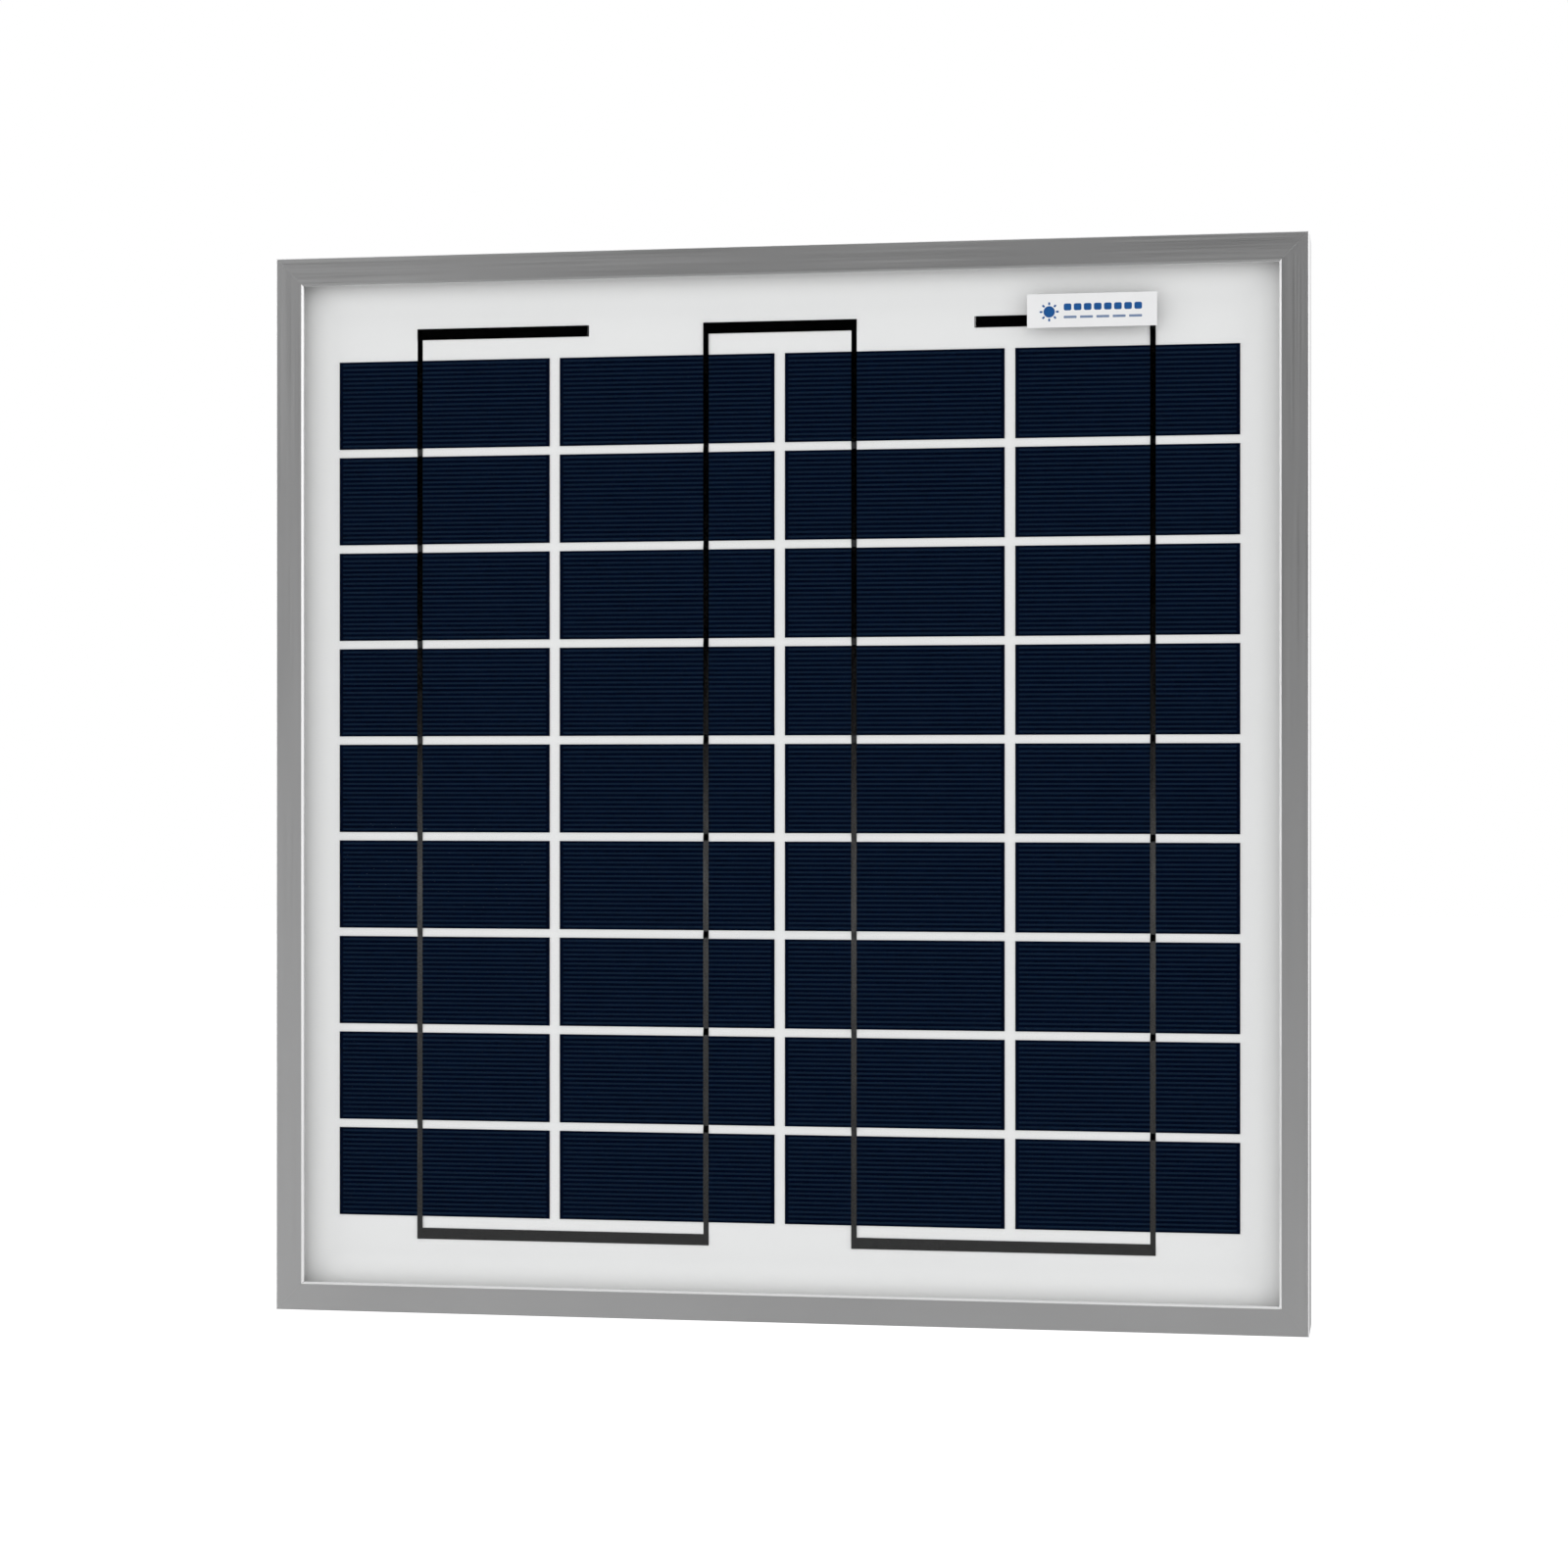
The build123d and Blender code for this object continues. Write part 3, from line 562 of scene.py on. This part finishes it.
rim = add(white_glue, "ShaderNodeMath", {"operation": "MAXIMUM"})
link(white_glue, painted_lift_near_lip("X", cad_high.x - LIP_WIDTH), rim.inputs[0])
link(white_glue, painted_lift_near_lip("Z", cad_high.z - LIP_WIDTH), rim.inputs[1])
glue_colour_with_painted_lift = add(white_glue, "ShaderNodeMix", {"data_type": "RGBA"}, Factor=rim.outputs[0])
middle_colour = ramp(
    white_glue, noise(white_glue, 30.0), (0.3, (0.840, 0.840, 0.843)), (0.7, (0.855, 0.855, 0.858))
)
link(white_glue, middle_colour, glue_colour_with_painted_lift.inputs[COLOUR_A])
# Painted highlight: near the lip the sheet's colour rises to 0.97, to offset the shade the lip casts
# there.
glue_colour_with_painted_lift.inputs[COLOUR_B].default_value = (0.97, 0.97, 0.97, 1)
link(white_glue, glue_colour_with_painted_lift.outputs[COLOUR_RESULT], white_glue_shader.inputs["Base Color"])
roughen(white_glue, white_glue_shader, noise(white_glue, 700.0), 0.1, 0.00004)
rear_sheet = sheet(
    "white_encapsulant", cell_high.y + LAYER_GAP, backsheet_front - LAYER_GAP, "rear_encapsulant"
)
finish_piece(rear_sheet, white_glue, stands_for=["rear_encapsulant"])

# %% [markdown]
# White sealant beds the laminate's edge in the frame's groove. Little of it shows, so it keeps
# its CAD shape and gets only a matt, slightly lumpy finish.

# %% Edge sealant
sealant, sealant_shader = new_material(
    "white_sealant", Base_Color=(0.62, 0.62, 0.61, 1), Roughness=0.55
)
roughen(sealant, sealant_shader, noise(sealant, 900.0), 0.3, 0.0001)
dress(sealant, "edge_sealant")

# %% [markdown]
# ## Cells
# Polycrystalline silicon is a patchwork of crystals, each a slightly different dark blue. A
# Voronoi texture gives one random value for each patch, and a ramp turns it into two close
# blues. The wafers are flat, so their CAD shape stays.

# %% Polycrystalline silicon
STRINGS = 4

silicon, silicon_shader = new_material(
    "polycrystalline_silicon", Roughness=0.42, Specular_IOR_Level=0.02
)
crystals = add(
    silicon, "ShaderNodeTexVoronoi", Vector=places(silicon, (1.0, 1.0, 1.6)), Scale=170.0, Randomness=1.0
)
patch = add(silicon, "ShaderNodeSeparateColor", Color=crystals.outputs["Color"])
dark_blue = ramp(
    silicon, patch.outputs[0], (0.0, (0.0001, 0.0026, 0.0120)), (1.0, (0.0004, 0.0034, 0.0140))
)
link(silicon, dark_blue, silicon_shader.inputs["Base Color"])
roughen(silicon, silicon_shader, patch.outputs[1], 0.1, 0.00001)
dress(silicon, *[f"cell_string_{number}" for number in range(1, STRINGS + 1)])

# %% [markdown]
# Thin silver fingers are printed across each cell and carry its current to the ribbon. They are
# real pieces here: one bar is modelled, an array modifier repeats it down a cell, and a second
# array repeats that cell down the string. Nineteen fingers share a cell evenly.

# %% Printed fingers
FINGERS_PER_CELL = 19
FINGER_PITCH = 1.35 * MM
FINGER_WIDTH = 0.58 * MM
FINGER_HEIGHT = 0.02 * MM
FINGER_MARGIN = 1.0 * MM
CELLS_PER_STRING = 9
ROW_GAP = 2.5 * MM

print_paste, paste_shader = new_material("printed_fingers", Roughness=0.45, Specular_IOR_Level=0.05)
paste_colour = ramp(
    print_paste,
    noise(print_paste, 60.0, (1, 1, 40)),
    (0.3, (0.0030, 0.0115, 0.0290)),
    (0.7, (0.0044, 0.0140, 0.0335)),
)
link(print_paste, paste_colour, paste_shader.inputs["Base Color"])

cell_height = (cell_high.z - cell_low.z - (CELLS_PER_STRING - 1) * ROW_GAP) / CELLS_PER_STRING
finger_span = (FINGERS_PER_CELL - 1) * FINGER_PITCH + FINGER_WIDTH
for number in range(1, STRINGS + 1):
    string_low, string_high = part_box(f"cell_string_{number}")
    first_z = string_low.z + (cell_height - finger_span) / 2
    fingers = block(
        f"cell_fingers_{number}",
        (string_low.x + FINGER_MARGIN, string_low.y - FINGER_HEIGHT, first_z),
        (string_high.x - FINGER_MARGIN, string_low.y, first_z + FINGER_WIDTH),
    )
    round_corners(fingers, FINGER_WIDTH / 3, 1)
    repeated(fingers, FINGERS_PER_CELL, (0, 0, FINGER_PITCH))
    repeated(fingers, CELLS_PER_STRING, (0, 0, cell_height + ROW_GAP))
    finish_piece(fingers, print_paste)

# %% [markdown]
# ## Ribbons and bus bars
# Black-coated copper ribbons join the cells. They are glossy, so the lower ones mirror the
# floor. Faint rolling marks run along them.

# %% Black ribbon
ribbon, ribbon_shader = new_material(
    "black_ribbon", Base_Color=(0.125, 0.125, 0.125, 1), Metallic=1.0
)
rolling = noise(ribbon, 1.0, (1500, 1500, 60), 2.0)
link(ribbon, ramp(ribbon, rolling, (0.3, 0.12), (0.7, 0.18)), ribbon_shader.inputs["Roughness"])
dress(
    ribbon,
    *[name for name in nodes if name.startswith(("cell_ribbons", "bus_bar", "output_lead"))],
)

# %% [markdown]
# ## White films
# The backsheet is a white weatherproof film. It shows between the cells and is the whole back
# of the laminate. The strip that keeps the output leads off the cells is cut from a similar
# film.

# %% Backsheet and insulator
film, film_shader = new_material("white_backsheet", Roughness=0.55, Specular_IOR_Level=0.25)
film_colour = ramp(
    film, noise(film, 25.0), (0.3, (0.775, 0.777, 0.775)), (0.7, (0.800, 0.800, 0.798))
)
link(film, film_colour, film_shader.inputs["Base Color"])
roughen(film, film_shader, noise(film, 1800.0), 0.15, 0.00003)
dress(film, "backsheet", "lead_insulator")

# %% [markdown]
# Heat and vacuum press the film against the cells while it cures, so their outlines can be
# felt on the back of a real panel. One low pad with rounded corners is repeated down and
# across in the grid of the cells.

# %% Cell outlines on the back
OUTLINE_HEIGHT = 0.05 * MM
OUTLINE_CORNER = 1.5 * MM
OUTLINE_BEVEL = 0.04 * MM

film_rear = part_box("backsheet")[1].y
next_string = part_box("cell_string_2")[0].x - cell_low.x
outlines = block(
    "cell_outlines_on_back",
    (cell_low.x, film_rear - OUTLINE_HEIGHT, cell_low.z),
    (cell_high.x, film_rear + OUTLINE_HEIGHT, cell_low.z + cell_height),
)
round_corners(outlines, OUTLINE_CORNER)
apply_modifier(outlines, "BEVEL", width=OUTLINE_BEVEL, segments=2, limit_method="ANGLE")
repeated(outlines, CELLS_PER_STRING, (0, 0, cell_height + ROW_GAP))
repeated(outlines, STRINGS, (next_string, 0, 0))
finish_piece(outlines, film)

# %% [markdown]
# ## Labels
# A badge is stuck on the glass and a rating label on the back. Both are plain white films.
# Their print is generic: a small blue sun and two rows of dashes on the badge, and a ruled
# table of dashes on the label. The print is a real layer, so it has thin pieces of its own.

# %% Label films
badge_film, badge_shader = new_material("badge_film", Roughness=0.35, Specular_IOR_Level=0.3)
badge_colour = ramp(
    badge_film, noise(badge_film, 200.0), (0.3, (0.815, 0.818, 0.825)), (0.7, (0.835, 0.838, 0.845))
)
link(badge_film, badge_colour, badge_shader.inputs["Base Color"])
roughen(badge_film, badge_shader, noise(badge_film, 2500.0), 0.1, 0.00002)
dress(badge_film, "front_badge", "rating_label")


def ink(name, dark, pale):
    """Printing ink: one hue that covers a little unevenly."""
    material, shader = new_material(name, Roughness=0.4, Specular_IOR_Level=0.3)
    colour = ramp(material, noise(material, 1200.0), (0.35, dark), (0.65, pale))
    link(material, colour, shader.inputs["Base Color"])
    return material


blue_ink = ink("blue_ink", (0.003, 0.075, 0.270), (0.005, 0.095, 0.320))
pale_ink = ink("pale_blue_ink", (0.15, 0.22, 0.36), (0.19, 0.26, 0.40))
black_ink = ink("black_ink", (0.018, 0.018, 0.020), (0.032, 0.032, 0.034))

# %% Badge print
PRINT_HEIGHT = 0.02 * MM
SUN_RADIUS = 1.65 * MM
SUN_RAYS = 8
SUN_RAY_LENGTH = 0.8 * MM
SUN_RAY_WIDTH = 0.55 * MM
SUN_RAY_GAP = 0.3 * MM
SUN_FROM_LEFT = 6.4 * MM
SUN_DROP = 0.3 * MM
RAY_CORNER = 0.1 * MM
DASHES_FROM_LEFT = 10.6 * MM

badge_low, badge_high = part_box("front_badge")
badge_middle = (badge_low.z + badge_high.z) / 2
sun_place = Vector(
    (badge_low.x + SUN_FROM_LEFT, badge_low.y - PRINT_HEIGHT / 2, badge_middle - SUN_DROP)
)
sun = started(
    bpy.ops.mesh.primitive_cylinder_add,
    "badge_sun",
    vertices=32,
    radius=SUN_RADIUS,
    depth=PRINT_HEIGHT,
    location=sun_place,
    rotation=(math.radians(90), 0, 0),
)
bpy.ops.object.mode_set(mode="EDIT")
for number in range(SUN_RAYS):
    turn = 2 * math.pi * number / SUN_RAYS
    reach = SUN_RADIUS + SUN_RAY_GAP + SUN_RAY_LENGTH / 2
    bpy.ops.mesh.primitive_cube_add(
        size=1,
        location=sun_place + Vector((math.sin(turn), 0, math.cos(turn))) * reach,
        rotation=(0, turn, 0),
        scale=(SUN_RAY_WIDTH, PRINT_HEIGHT, SUN_RAY_LENGTH),
    )
bpy.ops.object.mode_set(mode="OBJECT")
round_corners(sun, RAY_CORNER, 1)
finish_piece(sun, blue_ink)


def dashes(name, start, width, height, count, pitch, material):
    """A row of printed dashes with rounded corners. start is the first dash's end and middle."""
    row = block(
        name,
        (start.x, start.y - PRINT_HEIGHT / 2, start.z - height / 2),
        (start.x + width, start.y + PRINT_HEIGHT / 2, start.z + height / 2),
    )
    round_corners(row, min(width, height) / 4)
    repeated(row, count, (pitch, 0, 0))
    finish_piece(row, material)


text_left = badge_low.x + DASHES_FROM_LEFT
dashes(
    "badge_wide_dashes", Vector((text_left, sun_place.y, badge_middle + 1.0 * MM)),
    2.2 * MM, 2.0 * MM, 8, 2.9 * MM, blue_ink,
)
dashes(
    "badge_thin_dashes", Vector((text_left, sun_place.y, badge_middle - 1.9 * MM)),
    3.7 * MM, 0.7 * MM, 5, 4.7 * MM, pale_ink,
)

# %% Rating label print
LABEL_EDGE = 3.0 * MM
LABEL_RULE = 0.25 * MM
LABEL_ROWS = 8
NAME_DASH = 6 * MM
NAME_PITCH = 7 * MM
NAME_INSET = 2 * MM
VALUE_DASH = 4 * MM
VALUE_PITCH = 5 * MM
VALUE_INSET = 3 * MM
DASH_HEIGHT = 1.6 * MM

label_low, label_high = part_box("rating_label")
label_print_y = label_high.y + PRINT_HEIGHT / 2
row_pitch = (label_high.z - label_low.z - 2 * LABEL_EDGE) / LABEL_ROWS
rules = block(
    "label_rules",
    (label_low.x + LABEL_EDGE, label_high.y, label_low.z + LABEL_EDGE),
    (label_high.x - LABEL_EDGE, label_high.y + PRINT_HEIGHT, label_low.z + LABEL_EDGE + LABEL_RULE),
)
round_corners(rules, LABEL_RULE / 3, 1)
repeated(rules, LABEL_ROWS + 1, (0, 0, row_pitch))
finish_piece(rules, black_ink)

for row in range(LABEL_ROWS):
    height = label_low.z + LABEL_EDGE + (row + 0.5) * row_pitch
    right_end = label_high.x - LABEL_EDGE - NAME_INSET
    words = 3 + row * 5 % 4
    dashes(
        f"label_names_{row + 1}", Vector((right_end - words * NAME_PITCH, label_print_y, height)),
        NAME_DASH, DASH_HEIGHT, words, NAME_PITCH, black_ink,
    )
    dashes(
        f"label_values_{row + 1}",
        Vector((label_low.x + LABEL_EDGE + VALUE_INSET, label_print_y, height)),
        VALUE_DASH, DASH_HEIGHT, 2 + row % 2, VALUE_PITCH, black_ink,
    )

# %% [markdown]
# ## Junction box
# The box, its lid and the cable glands are moulded in black plastic with a fine spark-eroded
# grain. Moulded edges are never sharp, so the box and the lid are merged copies with a small
# bevel. The lid and all on it ride on the body that the hinge turns.

# %% Moulded plastic
plastic, plastic_shader = new_material("black_plastic", Specular_IOR_Level=0.4)
plastic_colour = ramp(
    plastic, noise(plastic, 60.0), (0.3, (0.017, 0.017, 0.018)), (0.7, (0.024, 0.024, 0.025))
)
link(plastic, plastic_colour, plastic_shader.inputs["Base Color"])
plastic_roughness = ramp(plastic, noise(plastic, 40.0), (0.3, 0.42), (0.7, 0.52))
link(plastic, plastic_roughness, plastic_shader.inputs["Roughness"])
roughen(plastic, plastic_shader, noise(plastic, 2500.0, detail=2.0), 0.4, 0.00005)

# %% Box and lid
MOULDED_EDGE = 0.18 * MM

for node_name, piece_name, body in (
    ("junction_box_base", "junction_box_shell", "panel"),
    ("junction_box_lid", "junction_box_cover", "lid"),
):
    moulding = clean_copy(node_name, piece_name)
    apply_modifier(
        moulding,
        "BEVEL",
        width=MOULDED_EDGE,
        segments=2,
        limit_method="ANGLE",
        angle_limit=math.radians(40),
    )
    finish_piece(moulding, plastic, body, stands_for=[node_name])

# %% [markdown]
# Ribs stiffen the thin middle of the lid, and a plus and a minus beside the glands tell which
# lead is which. They are moulded with the lid, so they have its finish.

# %% Ribs and polarity marks
PANEL_WIDTH = 48 * MM
PANEL_DEPTH = 0.4 * MM
RIBS = 6
RIB_PITCH = 4.4 * MM
RIB_WIDTH = 1.2 * MM
RIB_INSET = 4 * MM
RIB_EDGE = 0.12 * MM
SUNK_INTO_LID = 0.05 * MM
LID_MIDDLE_RISE = 27 * MM
MARK_SIZE = 4.2 * MM
MARK_BAR = 1.1 * MM
MARK_HEIGHT = 0.3 * MM
MARK_EDGE = 0.1 * MM
MARK_OFFSET = 24 * MM
MARK_RISE = 6.3 * MM

base_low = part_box("junction_box_base")[0]
lid_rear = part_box("junction_box_lid")[1].y
lid_middle = base_low.z + LID_MIDDLE_RISE
rib_start = lid_middle - (RIBS - 1) * RIB_PITCH / 2
ribs = block(
    "cover_ribs",
    (-PANEL_WIDTH / 2 + RIB_INSET, lid_rear - PANEL_DEPTH - SUNK_INTO_LID, rib_start - RIB_WIDTH / 2),
    (PANEL_WIDTH / 2 - RIB_INSET, lid_rear - SUNK_INTO_LID, rib_start + RIB_WIDTH / 2),
)
round_corners(ribs, RIB_WIDTH * 0.45)
apply_modifier(
    ribs, "BEVEL", width=RIB_EDGE, segments=2, limit_method="ANGLE", angle_limit=math.radians(60)
)
repeated(ribs, RIBS, (0, 0, RIB_PITCH))
finish_piece(ribs, plastic, "lid")

for side, name in ((-1, "plus_mark"), (1, "minus_mark")):
    mark_place = Vector((side * MARK_OFFSET, lid_rear, base_low.z + MARK_RISE))
    mark = block(
        name,
        mark_place + Vector((-MARK_SIZE / 2, -SUNK_INTO_LID, -MARK_BAR / 2)),
        mark_place + Vector((MARK_SIZE / 2, MARK_HEIGHT, MARK_BAR / 2)),
    )
    if side < 0:
        bpy.ops.object.mode_set(mode="EDIT")
        for end in (-1, 1):
            bpy.ops.mesh.primitive_cube_add(
                size=1,
                location=mark_place
                + Vector((0, MARK_HEIGHT / 2, end * (MARK_SIZE + MARK_BAR) / 4)),
                scale=(MARK_BAR, MARK_HEIGHT, (MARK_SIZE - MARK_BAR) / 2),
            )
        bpy.ops.object.mode_set(mode="OBJECT")
    apply_modifier(
        mark, "BEVEL", width=MARK_EDGE, segments=2, limit_method="ANGLE", angle_limit=math.radians(60)
    )
    finish_piece(mark, plastic, "lid")

# %% [markdown]
# A gland grips each cable: its body is screwed into the box, and a six-sided cap squeezes a
# rubber seal. The caps get softer edges, and the rest keeps its CAD shape.

# %% Cable glands
CAP_EDGE = 0.25 * MM

for side in ("left", "right"):
    cap = clean_copy(f"gland_cap_{side}", f"gland_cap_nut_{side}")
    apply_modifier(
        cap, "BEVEL", width=CAP_EDGE, segments=2, limit_method="ANGLE", angle_limit=math.radians(25)
    )
    finish_piece(cap, plastic, stands_for=[f"gland_cap_{side}"])
dress(plastic, *[name for name in nodes if name.startswith(("gland_body", "gland_lock"))])

# %% [markdown]
# The small parts keep their CAD shapes, so only their finishes differ: soft black rubber in
# the seals, brass in the terminals, plated steel in the screws and the hinge pin, and a black
# epoxy body on the diode.

# %% Rubber seals
rubber, rubber_shader = new_material("black_rubber", Base_Color=(0.025, 0.025, 0.025, 1), Roughness=0.7)
roughen(rubber, rubber_shader, noise(rubber, 1500.0), 0.3, 0.00005)
dress(rubber, "lid_gasket", "gland_seal_left", "gland_seal_right")

# %% Brass and steel
brass, brass_shader = new_material("terminal_brass", Metallic=1.0)
brass_colour = ramp(brass, noise(brass, 300.0), (0.3, (0.62, 0.47, 0.22)), (0.7, (0.72, 0.56, 0.28)))
link(brass, brass_colour, brass_shader.inputs["Base Color"])
brass_roughness = ramp(brass, noise(brass, 1.0, (200, 200, 3000)), (0.3, 0.25), (0.7, 0.4))
link(brass, brass_roughness, brass_shader.inputs["Roughness"])
dress(brass, "terminal_positive", "terminal_negative")

steel, steel_shader = new_material(
    "plated_steel", Metallic=1.0, Base_Color=(0.62, 0.62, 0.63, 1)
)
steel_roughness = ramp(steel, noise(steel, 900.0), (0.3, 0.22), (0.7, 0.36))
link(steel, steel_roughness, steel_shader.inputs["Roughness"])
dress(steel, "terminal_screws", "hinge_pin")

# %% Diode epoxy
epoxy, epoxy_shader = new_material(
    "diode_epoxy", Base_Color=(0.015, 0.015, 0.016, 1), Roughness=0.35
)
roughen(epoxy, epoxy_shader, noise(epoxy, 2000.0), 0.2, 0.00003)
dress(epoxy, "bypass_diode")

# %% [markdown]
# The box is glued to the backsheet with white silicone. A squeezed bead is round-edged, so it
# is a merged copy with a wide bevel.

# %% Silicone bead
BEAD_EDGE = 0.45 * MM

silicone, silicone_shader = new_material(
    "white_silicone", Base_Color=(0.80, 0.80, 0.78, 1), Roughness=0.4
)
roughen(silicone, silicone_shader, noise(silicone, 300.0), 0.3, 0.0002)
bead = clean_copy("box_adhesive", "silicone_bead")
apply_modifier(
    bead, "BEVEL", width=BEAD_EDGE, segments=4, limit_method="ANGLE", angle_limit=math.radians(40)
)
finish_piece(bead, silicone, stands_for=["box_adhesive"])
